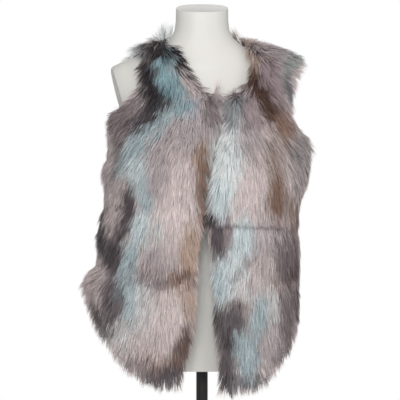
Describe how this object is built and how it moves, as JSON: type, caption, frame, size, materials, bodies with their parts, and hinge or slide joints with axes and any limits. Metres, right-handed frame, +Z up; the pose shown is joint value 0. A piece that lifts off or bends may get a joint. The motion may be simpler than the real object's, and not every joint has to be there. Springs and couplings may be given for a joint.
{
  "type": "long-pile faux fur vest on a limbless dress form with a stand",
  "caption": "Sleeveless open-front vest of long patchwork-dyed faux fur, worn on a plain white limbless dress form with a post and a round base.",
  "frame": {"origin": "centre of the stand base's underside, on the post's axis", "axes": "+Z up, -Y the way the wearer faces, +X to the wearer's left"},
  "size_m": [0.4919, 0.3093, 0.9573],
  "materials": {
    "fur": "long soft pile, dyed in soft-edged patches of blue-grey, pink-beige, brown and charcoal",
    "form": "smooth off-white semi-gloss",
    "stand": "satin black"
  },
  "bodies": {
    "root": {"right_front": "fur", "left_front_upper": "fur", "left_front_lower": "fur", "back": "fur", "dress_form": "form", "stand_post": "stand", "stand_base": "stand"}
  },
  "joints": []
}
